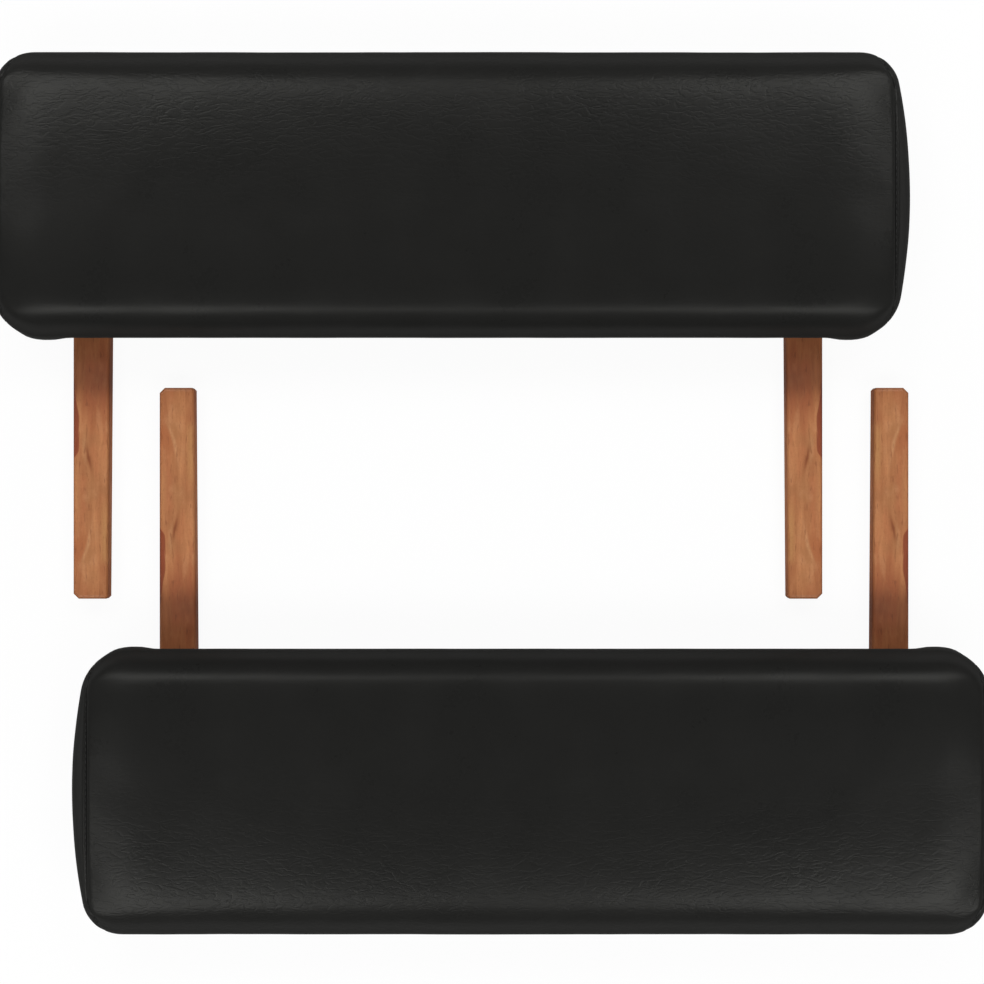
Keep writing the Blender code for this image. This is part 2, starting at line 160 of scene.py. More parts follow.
# Slow dents and finer ripples of the leather, and slack beside the sticks
DENT_HEIGHT = 0.00022
DENT_SCALE = np.array((17.0, 24.0, 20.0))
DENT_START = np.array((0.0, 0.0, 3.7))
RIPPLE_HEIGHT = 0.00007
RIPPLE_SCALE = np.array((52.0, 60.0, 60.0))
RIPPLE_START = np.array((9.1, 0.0, 0.0))
SLACK_HEIGHT = 0.0016
SLACK_BAND = (0.262, 0.276, 0.290, 0.304)
SLACK_Z = 0.037
SLACK_SPREAD = 0.0085
SLACK_BELOW_Y = -0.06

# The foam
FIT = 0.0003
CUT_MARGIN = 0.01
FOAM_CELL = 0.007
FOAM_BELOW_COVER = 0.0008
FOAM_SWELL_SHARE = 0.9
FOAM_SWELL_RISE = 0.010
SEAM_PRESS = 0.0027
SEAM_PRESS_REACH = 0.0065

# The lining, with the inset and share of thickness of its edge's rows, and its staples
LINING_INSET = 0.012
LINING_CELL = 0.006
LINING_EDGE = ((0.0016, 0.0), (0.0004, 0.18), (0.0, 0.5), (0.0004, 0.82), (0.0016, 1.0))
LINING_SHARES = (0.985, 0.965, 0.94, 0.90, 0.82, 0.70, 0.55, 0.38, 0.20, 0.06)
HEAD_OVER_HOLE = 0.0019
STAPLE_INSET = 0.0165
STAPLE_PITCH = 0.043
STAPLE_LINE_STEP = 0.002
STAPLE_CROWN = 0.0100
STAPLE_WIDTH = 0.0011
STAPLE_WIRE = 0.0005
STAPLE_SHOULDER = 0.0009
STAPLE_PROUD = 0.00022
STAPLE_PATH = ((-0.5, 1.0), (-0.5, 0.35), (-0.47, 0.08), (-0.42, 0.0),
               (0.42, 0.0), (0.47, 0.08), (0.5, 0.35), (0.5, 1.0))
STAPLE_DENT = LINING_THICKNESS / 4
STAPLE_DENT_REACH = 0.007
STICK_CLEARANCE = 0.020
STICK_BACK_Y = 0.080

# Way across a stick to the dark streak along its edge
EDGE_STREAK_ACROSS = 0.0129

# Studio
CAMERA_PLACE = (0.0007, 0.0009, 1.656)
CAMERA_LENS = 85.0
SENSOR_WIDTH = 36.0
FLOOR_RADIUS = 14.0
FLOOR_DROP = 0.0005
FLOOR_WHITE = 0.94
SOFTBOX_SIZE = (1.5, 1.2)
SOFTBOX_POWER = 8.4
SOFTBOX_PLACE = Vector((1.07, 1.74, 2.44))
SOFTBOX_AIM = Vector((0.53, 0.90, 0.0))
SOFTBOX_SPREAD = math.radians(80)
CORNER_BOX_SIZE = (0.30, 0.42)
CORNER_BOX_POWER = 0.042
CORNER_BOX_PLACE = Vector((1.06, 0.58, 1.20))
CORNER_BOX_AIM = Vector((0.35, 0.370, 0.06))
CORNER_BOX_SPREAD = math.radians(20)
ROOM_LEVELS = ((0.0, 0.14), (0.45, 0.28), (0.80, 0.14), (1.0, 0.08))


def corner_of(side):
    """Middle, radius and starting angle of the outer (+1) or inner (-1) corner of the outline."""
    radius = OUTER_CORNER_RADIUS if side > 0 else INNER_CORNER_RADIUS
    reach = BOW_RADIUS - radius
    rise = HALF_DEPTH - radius
    start = math.asin(rise / reach)
    return HALF_LENGTH - BOW_RADIUS + reach * math.cos(start), rise, radius, start


CORNERS = {side: corner_of(side) for side in (1, -1)}
SEAM_TURNS = {1: OUTER_SEAM_TURN, -1: INNER_SEAM_TURN}


def by_side(y, index):
    return np.where(y > 0, CORNERS[1][index], CORNERS[-1][index])


def bow_distance(x, y):
    return BOW_RADIUS - np.hypot(np.abs(x) + BOW_RADIUS - HALF_LENGTH, y)


def eased(share):
    share = np.clip(share, 0.0, 1.0)
    return share * share * (3.0 - 2.0 * share)


def smooth_step(value, low, high):
    return eased((value - low) / (high - low))


def in_corner(x, y):
    along = np.abs(x)
    bow_angle = np.arctan2(np.abs(y), along + BOW_RADIUS - HALF_LENGTH)
    return (along > by_side(y, 0)) & (bow_angle > by_side(y, 3))


def plan_inset(x, y):
    """How far each point of the plan lies inside the cushion's outline."""
    across, along = np.abs(y), np.abs(x)
    round_corner = by_side(y, 2) - np.hypot(along - by_side(y, 0), across - by_side(y, 1))
    return np.where(in_corner(x, y), round_corner, np.minimum(HALF_DEPTH - across, bow_distance(x, y)))


def edge_reach(x, y):
    """How far in from the outline the top still turns down: at the ends, from just behind the seam."""
    across, along = np.abs(y), np.abs(x)
    start = by_side(y, 3)
    angle = np.arctan2(across - by_side(y, 1), along - by_side(y, 0))
    round_corner = 1.0 - eased((angle - start) / (math.pi / 2 - start))
    at_end = np.where(in_corner(x, y), round_corner, bow_distance(x, y) < HALF_DEPTH - across)
    near_ends = 1.0 - eased(bow_distance(x, y) / CORNER_EASE)
    middle_reach = np.where(y > 0, EDGE_REACH, INNER_EDGE_REACH)
    side_reach = middle_reach + (EDGE_REACH_NEAR_ENDS - middle_reach) * near_ends
    end_reach = np.maximum(bow_distance(SEAM_X, y) + END_TURN_BEHIND_SEAM, LEAST_END_REACH)
    return side_reach + (end_reach - side_reach) * at_end


def cushion_z(x, y):
    """Height of the cushion's top: an edge that is rounder near the ends, and a low crown."""
    inset = np.clip(plan_inset(x, y) / edge_reach(x, y), 0.0, 1.0)
    edge = EDGE_RISE * np.sqrt(1.0 - (1.0 - inset) ** 2)
    power = np.where(y > 0, OUTER_CROWN_POWER, INNER_CROWN_POWER)
    across = 1.0 - np.clip(np.abs(y) / HALF_DEPTH, 0.0, 1.0) ** power
    along = 1.0 - (1.0 - np.clip(bow_distance(x, y) / END_EASE, 0.0, 1.0)) ** END_CROWN_POWER
    return WIDEST_Z + edge + CROWN_HEIGHT * across * along


def seam_angle(side, inset):
    """Where on the corner's arc the seam crosses the outline drawn in by the inset."""
    middle_x, middle_y, radius, _ = CORNERS[side]
    turn = SEAM_TURNS[side]
    heading = np.array((-math.sin(turn), math.cos(turn)))
    offset = np.array((SEAM_X - middle_x, SEAM_TURN_Y - middle_y))
    along = offset @ heading
    reach = math.sqrt(along ** 2 - offset @ offset + (radius - inset) ** 2) - along
    crossing = offset + heading * reach
    return math.atan2(crossing[1], crossing[0])


def side_y(x, inset, side):
    """Distance from the long axis to the outline drawn in by the inset."""
    middle_x, middle_y, radius, _ = CORNERS[side]
    past = np.clip(np.abs(x) - middle_x, 0.0, radius - inset)
    return middle_y + np.sqrt((radius - inset) ** 2 - past ** 2)


def lower_rows():
    """Inset and height of the cover's rows below its widest line, from the hem's edge up."""
    rows = [(inset, HEM_Z) for inset in np.linspace(COVER_HEM, FOLD_INSET, 6)]
    for degrees in (30, 60, 90):
        angle = math.radians(degrees)
        rows.append((SIDE_SWELL + FOLD_RADIUS * (1 - math.sin(angle)),
                     HEM_Z + FOLD_RADIUS * (1 - math.cos(angle))))
    rows += [(SIDE_SWELL, z) for z in np.linspace(HEM_Z + FOLD_RADIUS, BOARD_TOP_Z, 4)[1:]]
    for share in np.linspace(0.0, 1.0, 6)[1:-1]:
        rows.append((SIDE_SWELL * (1 - math.sin(share * math.pi / 2)),
                     BOARD_TOP_Z + (WIDEST_Z - BOARD_TOP_Z) * share))
    return rows


def main_columns():
    """Places along the main panel, as shares of the way to a seam, close together near it."""
    distances = np.array((SEAM_GAP, 0.0005, 0.0009, 0.0014, 0.0021, 0.0030, 0.0042, 0.0058, 0.0078,
                          0.0103, 0.0134, 0.0168, 0.0204, 0.0242))
    near = 1 - distances / SEAM_X
    between = np.linspace(near[-1], -near[-1], 138)[1:-1]
    return np.sort(np.concatenate((near, -near, between)))


def main_panel():
    """Points of the long panel, from the inner hem over the top to the outer hem."""
    shares = main_columns()
    halves = {}
    for side in (-1, 1):
        middle_x, _, radius, _ = CORNERS[side]
        rows = []
        for inset, z in lower_rows():
            angle = seam_angle(side, min(inset, FOLD_INSET))
            x = shares * (middle_x + (radius - inset) * math.cos(angle))
            y = side * side_y(x, inset, side)
            rows.append(np.stack((x, y, np.full_like(x, z)), axis=1))
        angles = np.linspace(0.0, math.pi / 2, 13)
        levels = list(HALF_DEPTH - EDGE_REACH * (1 - np.cos(angles)))
        levels += list(np.linspace(levels[-1], 0.0, 20))[1:]
        for level in levels:
            end_x = SEAM_X
            for _ in range(24):
                reach_y = level / HALF_DEPTH * side_y(end_x, 0.0, side)
                end_x = SEAM_X - max(0.0, reach_y - SEAM_TURN_Y) * math.tan(SEAM_TURNS[side])
            x = shares * end_x
            y = side * level / HALF_DEPTH * side_y(x, 0.0, side)
            rows.append(np.stack((x, y, cushion_z(x, y)), axis=1))
        halves[side] = rows
    return np.array(halves[-1] + halves[1][-2::-1])


def end_columns(inset):
    """Points and headings out of the cushion round the foot end, seam to seam, drawn in by the inset."""
    places, headings = [], []
    bow_x = HALF_LENGTH - BOW_RADIUS
    for side, count in ((-1, 20), (1, 17)):
        middle_x, middle_y, radius, start = CORNERS[side]
        far = seam_angle(side, min(inset, FOLD_INSET)) - SEAM_GAP / radius
        angles = far + (start - far) * np.linspace(0.0, 1.0, count) ** 1.8
        arc = np.stack((np.cos(angles), side * np.sin(angles)), axis=1)
        arc_places = np.array((middle_x, side * middle_y)) + (radius - inset) * arc
        if side < 0:
            places.append(arc_places)
            headings.append(arc)
            bow_angles = np.linspace(-start, CORNERS[1][3], 62)[1:-1]
            bow = np.stack((np.cos(bow_angles), np.sin(bow_angles)), axis=1)
            places.append(np.array((bow_x, 0.0)) + (BOW_RADIUS - inset) * bow)
            headings.append(bow)
        else:
            places.append(arc_places[::-1])
            headings.append(arc[::-1])
    return np.concatenate(places), np.concatenate(headings)


def end_panel():
    """Points of the panel round the foot end, from its hem up to the seam."""
    rows = []
    for inset, z in lower_rows():
        places, _ = end_columns(inset)
        rows.append(np.column_stack((places, np.full(len(places), z))))
    places, headings = end_columns(0.0)
    to_seam = (places[:, 0] - SEAM_X) / headings[:, 0]
    for side in (1, -1):
        turn = SEAM_TURNS[side]
        facing = np.array((math.cos(turn), side * math.sin(turn)))
        turn_point = np.array((SEAM_X, side * SEAM_TURN_Y))
        to_seam = np.maximum(to_seam, (places - turn_point) @ facing / (headings @ facing))
    to_seam = np.maximum(to_seam - SEAM_GAP, SEAM_GAP)
    for share in (0.0, 0.06, 0.14, 0.24, 0.35, 0.46, 0.57, 0.67, 0.76, 0.84, 0.90, 0.945, 0.975, 1.0):
        row = places - headings * (share * to_seam)[:, None]
        rows.append(np.column_stack((row, cushion_z(row[:, 0], row[:, 1]))))
    return np.array(rows)


def outward(points):
    """Directions out of the cushion at points of its skin, alike for all the panels."""
    x, y, z = points.T
    step = NORMAL_STEP
    plan = -np.stack((plan_inset(x + step, y) - plan_inset(x - step, y),
                      plan_inset(x, y + step) - plan_inset(x, y - step)), axis=1)
    plan /= np.maximum(np.linalg.norm(plan, axis=1, keepdims=True), 1e-9)
    inset = plan_inset(x, y)
    pulled = np.maximum(0.0, RIM_PULL - inset)
    in_x, in_y = x - plan[:, 0] * pulled, y - plan[:, 1] * pulled
    slope_x = (cushion_z(in_x + step, in_y) - cushion_z(in_x - step, in_y)) / (2 * step)
    slope_y = (cushion_z(in_x, in_y + step) - cushion_z(in_x, in_y - step)) / (2 * step)
    upper = np.stack((-slope_x, -slope_y, np.ones(len(points))), axis=1)
    upper /= np.linalg.norm(upper, axis=1, keepdims=True)
    level = np.column_stack((plan, np.zeros(len(points))))
    share = np.clip((z - HEM_Z) / FOLD_RADIUS, 0.0, 1.0)[:, None]
    lower = level * np.sqrt(share * (2 - share)) - np.array((0.0, 0.0, 1.0)) * (1 - share)
    on_top = (eased(inset / RIM_BLEND) * (z > WIDEST_Z - 1e-6))[:, None]
    facing = upper * on_top + lower * (1 - on_top)
    return facing / np.linalg.norm(facing, axis=1, keepdims=True)


def sheet_faces(rows, columns, mirrored=False):
    faces = []
    for row in range(rows - 1):
        for column in range(columns - 1):
            low = row * columns + column
            high = low + columns
            face = (low, low + 1, high + 1, high)
            faces.append(face[::-1] if mirrored else face)
    return faces


def ring_outline(step, inset=0.0):
    """Points round the whole outline, anticlockwise, drawn in by the inset."""
    half = []
    for side in (-1, 1):
        middle_x, middle_y, radius, start = CORNERS[side]
        count = max(4, int(radius * (math.pi / 2 - start) / step) + 1)
        angles = np.linspace(math.pi / 2, start, count, endpoint=False)
        arc = [(middle_x + (radius - inset) * math.cos(angle),
                side * (middle_y + (radius - inset) * math.sin(angle))) for angle in angles]
        if side < 0:
            half += arc
            angles = np.linspace(-start, CORNERS[1][3], int(PAD_DEPTH / step))
            half += [(HALF_LENGTH - BOW_RADIUS + (BOW_RADIUS - inset) * math.cos(angle),
                      (BOW_RADIUS - inset) * math.sin(angle)) for angle in angles]
        else:
            half += arc[::-1]
    side_x = [CORNERS[1][0], CORNERS[-1][0]]
    outer = np.linspace(side_x[0], -side_x[0], int(PAD_LENGTH / step))[1:-1]
    inner = np.linspace(-side_x[1], side_x[1], int(PAD_LENGTH / step))[1:-1]
    points = half + [(x, HALF_DEPTH - inset) for x in outer]
    points += [(-x, y) for x, y in reversed(half)]
    points += [(x, -HALF_DEPTH + inset) for x in inner]
    return np.array(points)


def towards_spine(ring, share):
    """Places of a ring seen from above, drawn in towards the cushion's middle line."""
    spine = np.clip(ring[:, 0], -HALF_LENGTH + HALF_DEPTH, HALF_LENGTH - HALF_DEPTH)
    return spine + (ring[:, 0] - spine) * share, ring[:, 1] * share


def cushion_rings(step, inward):
    """Closed rings of the whole cushion, from the board to the spine, drawn in from the cover."""
    rings = []
    for share in np.linspace(0.0, 1.0, 4)[:-1]:
        plan = ring_outline(step, SIDE_SWELL * (1 - math.sin(share * math.pi / 2)) + inward)
        z = BOARD_TOP_Z + FIT + (WIDEST_Z - BOARD_TOP_Z) * share
        rings.append(np.column_stack((plan, np.full(len(plan), z))))
    for angle in np.linspace(0.0, math.pi / 2, 7):
        plan = ring_outline(step, EDGE_REACH * (1 - math.cos(angle)))
        ring = np.column_stack((plan, cushion_z(plan[:, 0], plan[:, 1])))
        rings.append(ring - inward * outward(ring))
    last = rings[-1]
    for share in (0.88, 0.76, 0.64, 0.52, 0.40, 0.29, 0.18, 0.08):
        x, y = towards_spine(last, share)
        rings.append(np.column_stack((x, y, cushion_z(x, y) - inward)))
    return rings


def finished(form, name):
    """The mesh of a form, which is then done with."""
    mesh = bpy.data.meshes.new(name)
    form.to_mesh(mesh)
    form.free()
    return mesh


def join_rings(form, rings):
    """Faces between each closed ring of points and the next."""
    for first, second in zip(rings, rings[1:]):
        for index in range(len(first)):
            after = (index + 1) % len(first)
            form.faces.new((first[index], first[after], second[after], second[index]))


def ring_mesh(name, rings):
    """A closed skin through rings, with a flat face below and triangles on top."""
    form = bmesh.new()
    rows = [[form.verts.new(point) for point in ring] for ring in rings]
    join_rings(form, rows)
    form.faces.new(reversed(rows[0]))
    bmesh.ops.triangulate(form, faces=[form.faces.new(rows[-1])])
    return finished(form, name)


def after_modifiers(name, mesh, *steps):
    """The mesh after its modifiers, each given as a kind and its settings."""
    holder = bpy.data.objects.new(name, mesh)
    bpy.context.scene.collection.objects.link(holder)
    for kind, settings in steps:
        modifier = holder.modifiers.new(kind.title(), kind)
        for setting, value in settings.items():
            setattr(modifier, setting, value)
    graph = bpy.context.evaluated_depsgraph_get()
    result = bpy.data.meshes.new_from_object(holder.evaluated_get(graph))
    result.name = name
    bpy.data.objects.remove(holder)
    return result


def swollen_cover():
    """Points of a plain skin over the foam, and how far pressure from inside pushes each one out."""
    skin = ring_mesh("plain_skin", cushion_rings(SWELL_CELL, 0.0))
    skin = after_modifiers("plain_skin", skin, ("REMESH", {"mode": "VOXEL", "voxel_size": SWELL_CELL}))
    rest = np.array([vertex.co for vertex in skin.vertices])
    facing = np.array([vertex.normal for vertex in skin.vertices])
    holder = bpy.data.objects.new("swelling_skin", skin)
    scene = bpy.context.scene
    scene.collection.objects.link(holder)
    held = holder.vertex_groups.new(name="stretched_over_board")
    low = np.flatnonzero(rest[:, 2] < BOARD_TOP_Z + SWELL_CELL / 2)
    held.add([int(index) for index in low], 1.0, "ADD")
    cloth = holder.modifiers.new("Swelling", "CLOTH")
    for setting, value in LEATHER_CLOTH.items():
        setattr(cloth.settings, setting, value)
    cloth.settings.vertex_group_mass = held.name
    cloth.settings.effector_weights.gravity = 0.0
    cloth.point_cache.frame_start = 1
    cloth.point_cache.frame_end = SWELL_FRAMES
    for step in range(1, SWELL_FRAMES + 1):
        scene.frame_set(step)
    shown = holder.evaluated_get(bpy.context.evaluated_depsgraph_get())
    moved = np.array([vertex.co for vertex in shown.data.vertices])
    bpy.data.objects.remove(holder)
    scene.frame_set(1)
    pushed = ((moved - rest) * facing).sum(axis=1)
    return rest, SWELL_CAP * np.tanh(np.maximum(pushed, 0.0) / SWELL_CAP)


def near_tree(points):
    """The points, ready to be asked for the nearest ones."""
    tree = KDTree(len(points))
    for index, point in enumerate(points):
        tree.insert(point, index)
    tree.balance()
    return tree


def swelling_tree():
    rest, pushed = swollen_cover()
    return near_tree(rest), pushed


def swell_of(points):
    """How far the cover swells at each point, the same at both ends of the armrest."""
    result = np.zeros(len(points))
    if SWELL_TREE is None:
        return result
    for index, point in enumerate(points):
        for sign in (1, -1):
            found = SWELL_TREE.find_n((sign * point[0], point[1], point[2]), SWELL_NEIGHBOURS)
            weights = np.array([math.exp(-(gap / SWELL_BLEND) ** 2) + 1e-9 for _, _, gap in found])
            result[index] += 0.5 * weights @ SWELL_PUSH[[near for _, near, _ in found]] / weights.sum()
    return result


def seam_line(border):
    """Points along a seam, close together, with their distance along it."""
    lengths = np.linalg.norm(np.diff(border, axis=0), axis=1)
    along = np.concatenate(([0.0], np.cumsum(lengths)))
    steps = np.arange(0.0, along[-1], SEAM_STEP)
    points = np.stack([np.interp(steps, along, border[:, axis]) for axis in range(3)], axis=1)
    return points, steps, near_tree(points)


def at_plus_end(points):
    """The points, with those of the minus end mirrored to the plus end."""
    return np.column_stack((np.abs(points[:, 0]), points[:, 1:]))


def from_seam(points, line):
    """Distance of each point from the seam, and its place along it."""
    _, steps, tree = line
    found = [tree.find(point) for point in points]
    return np.array([item[2] for item in found]), np.array([steps[item[1]] for item in found])


def puckers(along, distance, seam_length, seed):
    """Small gathers that run off a seam, stronger where it turns to the corners."""
    draw = np.random.default_rng(seed)
    waves = np.zeros_like(along)
    for pitch in PUCKER_PITCHES:
        phase = draw.uniform(0.0, math.tau)
        waves += np.sin(along / pitch * math.tau + phase) * draw.uniform(0.6, 1.0)
    to_middle = np.abs(along - seam_length / 2)
    at_turns = np.exp(-((to_middle - SEAM_TURN_ALONG) / SEAM_TURN_SPREAD) ** 2)
    gathers = (STRAIGHT_PUCKERS + at_turns) * waves / 2 * np.exp(-distance / PUCKER_REACH)
    ripple = STITCH_RIPPLE * np.cos(along / STITCH_PITCH * math.tau)
    return PUCKER_HEIGHT * (gathers + ripple * np.exp(-distance / STITCH_RIPPLE_REACH))


def seam_share(z):
    """Share of the seam's full depth at a height: shallow on the sides, where the leather is tight."""
    return SIDE_SEAM_SHARE + (1 - SIDE_SEAM_SHARE) * smooth_step(z, *SEAM_DEEPENS)


def seam_shape(distance, along):
    """How the leather turns down into a seam, with a soft lip beside it that comes and goes."""
    from_bottom = np.maximum(distance - SEAM_BOTTOM, 0.0) / SEAM_HALF_WIDTH
    dip = -SEAM_DEPTH * np.exp(-from_bottom ** SEAM_ROUNDING)
    long_wave, short_wave = LIP_WAVES
    lip = SEAM_LIP * (0.5 + 0.5 * np.sin(along / long_wave + LIP_START) * np.sin(along / short_wave))
    return dip + lip * np.exp(-((distance - SEAM_LIP_FROM) / SEAM_LIP_SPREAD) ** 2)


def unevenness(points):
    """Slow dents of the foam under the leather, and finer ripples of the leather itself."""
    result = np.zeros(len(points))
    for index, point in enumerate(points):
        dent = noise.noise(Vector(point * DENT_SCALE + DENT_START))
        ripple = noise.noise(Vector(point * RIPPLE_SCALE + RIPPLE_START))
        result[index] = DENT_HEIGHT * dent + RIPPLE_HEIGHT * ripple
    return result


def corner_slack(points):
    """Leather bunched below the widest line, between each stick and the inner corner."""
    x, y, z = np.abs(points[:, 0]), points[:, 1], points[:, 2]
    start, full, fall, end = SLACK_BAND
    along = smooth_step(x, start, full) * (1 - smooth_step(x, fall, end))
    height = np.exp(-((z - SLACK_Z) / SLACK_SPREAD) ** 2)
    return SLACK_HEIGHT * along * height * (y < SLACK_BELOW_Y)


def dressed(grid, line, seed):
    """The panel's points after swelling, slack, seams and puckers."""
    points = grid.reshape(-1, 3)
    shape = np.zeros(len(points))
    near = np.abs(points[:, 0]) > SEAM_X - SEAM_REACH
    distance, along = from_seam(at_plus_end(points[near]), line)
    seeds = np.where(points[near][:, 0] > 0, seed, seed + 1)
    for number in sorted(set(seeds)):
        chosen = seeds == number
        shape[np.flatnonzero(near)[chosen]] = (
            seam_shape(distance[chosen], along[chosen])
            + puckers(along[chosen], distance[chosen], line[1][-1], number))
    shape *= seam_share(points[:, 2])
    hem = smooth_step(points[:, 2], *HEM_SETTLES)
    shape = shape * np.maximum(hem, HEM_SEAM_SHARE) + unevenness(points) * hem + corner_slack(points)
    shape += swell_of(points) * hem
    moved = points + outward(points) * shape[:, None]
    moved[:, 2] = np.maximum(moved[:, 2], HEM_Z)
    return moved


def leather_mesh(name, grid, points, mirrored=False):
    mesh = bpy.data.meshes.new(name)
    points = points.copy()
    if mirrored:
        points[:, 0] *= -1
    mesh.from_pydata([tuple(point) for point in points], [], sheet_faces(*grid.shape[:2], mirrored))
    mesh.update()
    shell = "SOLIDIFY", {"thickness": COVER_THICKNESS, "offset": -1.0, "use_rim": True}
    result = after_modifiers(name, mesh, shell)
    result.shade_smooth()
    result.set_sharp_from_angle(angle=math.radians(60))
    return result


def thread_mesh(name, points, seam_length, seed, mirrored=False):
    """Stitches lying in the seam, one short bent piece of thread for each."""
    form = bmesh.new()
    draw = np.random.default_rng(seed)
    turns = np.arange(THREAD_SIDES) * math.tau / THREAD_SIDES
    for at in np.arange(THREAD_FROM_HEM, seam_length - THREAD_FROM_HEM, STITCH_PITCH):
        rings = []
        tilt = draw.uniform(-THREAD_TILT, THREAD_TILT)
        for share, size in STITCH_SECTIONS:
            index = int(np.clip((at + share * STITCH_LENGTH) / SEAM_STEP, 2, len(points) - 3))
            ahead = points[index + 2] - points[index - 2]
            ahead /= np.linalg.norm(ahead)
            sideways = np.array((1.0, 0.0, 0.0))
            sideways -= ahead * (sideways @ ahead)
            sideways /= np.linalg.norm(sideways)
            out = np.cross(sideways, ahead)
            if out @ (points[index] - THREAD_INSIDE) < 0:
                out = -out
            sink = (THREAD_SINK + THREAD_BEND * (2 * share) ** 2) * seam_share(points[index][2])
            centre = points[index] - out * sink + sideways * tilt * share * STITCH_LENGTH
            rings.append([form.verts.new(centre + THREAD_RADIUS * size * (
                math.cos(turn) * sideways + math.sin(turn) * out)) for turn in turns])
        join_rings(form, rings)
        form.faces.new(rings[0])
        form.faces.new(rings[-1])
    if mirrored:
        bmesh.ops.scale(form, vec=(-1.0, 1.0, 1.0), verts=form.verts)
    bmesh.ops.recalc_face_normals(form, faces=form.faces)
    mesh = finished(form, name)
    mesh.shade_smooth()
    return mesh


def hole_tool(name, radius, low, high):
    """Round holes at the four bolts of an armrest, as one cutting solid."""
    form = bmesh.new()
    for box in BOLT_BOXES:
        spot = (box[0] + box[1]) / 2 - LEFT_MIDDLE
        stand = Matrix.Translation((spot.x, spot.y, (low + high) / 2))
        bmesh.ops.create_cone(form, cap_ends=True, segments=24, radius1=radius, radius2=radius,
                              depth=high - low, matrix=stand)
    tool = bpy.data.objects.new(name, finished(form, name))
    bpy.context.scene.collection.objects.link(tool)
    return tool


def drilled(name, mesh, tool):
    cut = "BOOLEAN", {"operation": "DIFFERENCE", "solver": "EXACT", "object": tool}
    result = after_modifiers(name, mesh, cut)
    bpy.data.objects.remove(tool)
    result.shade_smooth()
    result.set_sharp_from_angle(angle=math.radians(50))
    return result


def foam_mesh():
    """The foam inside the cover, pressed in along the seams, with room for the tee nuts."""
    rings = cushion_rings(FOAM_CELL, COVER_THICKNESS + FOAM_BELOW_COVER)
    for ring in rings:
        z = ring[:, 2]
        distance, _ = from_seam(at_plus_end(ring), SEAM)
        pressed = SEAM_PRESS * np.exp(-(distance / SEAM_PRESS_REACH) ** 2)
        pressed *= smooth_step(z, BOARD_TOP_Z, WIDEST_Z)
        swelling = FOAM_SWELL_SHARE * swell_of(ring)
        swelling *= smooth_step(z, WIDEST_Z, WIDEST_Z + FOAM_SWELL_RISE)
        ring += outward(ring) * (swelling - pressed)[:, None]
    tool = hole_tool("tee_nut_room", TEE_NUT_FLANGE_RADIUS + FIT, BOARD_TOP_Z - CUT_MARGIN,
                     TEE_NUT_BOX[1].z + FIT)
    return drilled("foam", ring_mesh("foam", rings), tool)


def staple_places():
    """Middle and heading of each staple round the lining's edge, clear of the sticks."""
    line = ring_outline(STAPLE_LINE_STEP, STAPLE_INSET)
    lengths = np.linalg.norm(np.diff(line, axis=0, append=line[:1]), axis=1)
    along = np.concatenate(([0.0], np.cumsum(lengths)))
    count = int(along[-1] / STAPLE_PITCH)
    places = []
    for number in range(count):
        index = int(np.searchsorted(along, (number + 0.5) * along[-1] / count)) - 1
        point = line[index]
        ahead = line[(index + 1) % len(line)] - point
        if abs(abs(point[0]) - STICK_X) >= STICK_CLEARANCE or point[1] >= STICK_BACK_Y:
            places.append((point, math.atan2(ahead[1], ahead[0])))
    return places


def lining_mesh():
    """The cloth under the board: a thin sheet with a soft edge, dented at its staples."""
    spots = np.array([place for place, _ in staple_places()])

    def level(x, y, height):
        return np.column_stack((x, y, np.full(len(x), LINING_Z + LINING_THICKNESS * height)))

    def ring(inset, height):
        return level(*ring_outline(LINING_CELL, LINING_INSET + inset).T, height)

    def inner_rings(inset, height):
        edge = ring(inset, height)
        return [level(*towards_spine(edge, share), height) for share in LINING_SHARES]

    under = inner_rings(*LINING_EDGE[0])
    for row in under:
        gap = np.linalg.norm(row[:, None, :2] - spots[None], axis=2).min(axis=1)
        row[:, 2] += STAPLE_DENT * np.exp(-(gap / STAPLE_DENT_REACH) ** 2)
    rings = under[::-1] + [ring(*step) for step in LINING_EDGE] + inner_rings(*LINING_EDGE[-1])
    tool = hole_tool("bolt_holes", BOLT_HEAD_RADIUS - HEAD_OVER_HOLE, LINING_Z - CUT_MARGIN,
                     LINING_Z + CUT_MARGIN)
    return drilled("lining", ring_mesh("lining", rings), tool)


def staples_mesh():
    """Wire staples that hold the lining, each a flat crown with turned-down shoulders."""
    form = bmesh.new()
    for (x, y), heading in staple_places():
        turn = Matrix.Translation((x, y, 0.0)) @ Matrix.Rotation(heading, 4, "Z")
        rings = []
        for index, (share, rise) in enumerate(STAPLE_PATH):
            before = STAPLE_PATH[max(index - 1, 0)]
            after = STAPLE_PATH[min(index + 1, len(STAPLE_PATH) - 1)]
            run = Vector(((after[0] - before[0]) * STAPLE_CROWN,
                          (after[1] - before[1]) * STAPLE_SHOULDER)).normalized()
            inward = Vector((-run.y, run.x)) * STAPLE_WIRE
            z = LINING_Z - STAPLE_PROUD + rise * STAPLE_SHOULDER
            rings.append([form.verts.new(turn @ Vector((
                share * STAPLE_CROWN + inward.x * thick, wide * STAPLE_WIDTH, z + inward.y * thick)))
                for thick, wide in ((0, -0.5), (0, 0.5), (1, 0.5), (1, -0.5))])
        join_rings(form, rings)
        form.faces.new(rings[0])
        form.faces.new(rings[-1])
    bmesh.ops.recalc_face_normals(form, faces=form.faces)
    return finished(form, "staples")


def put(tree, kind, inputs=None, **settings):
    """A shader node with its settings, and its inputs linked or set."""
    node = tree.nodes.new(kind)
    for name, value in settings.items():
        setattr(node, name, value)
    for key, value in (inputs or {}).items():
        if isinstance(value, bpy.types.NodeSocket):
            tree.links.new(value, node.inputs[key])
        else:
            node.inputs[key].default_value = value
    return node


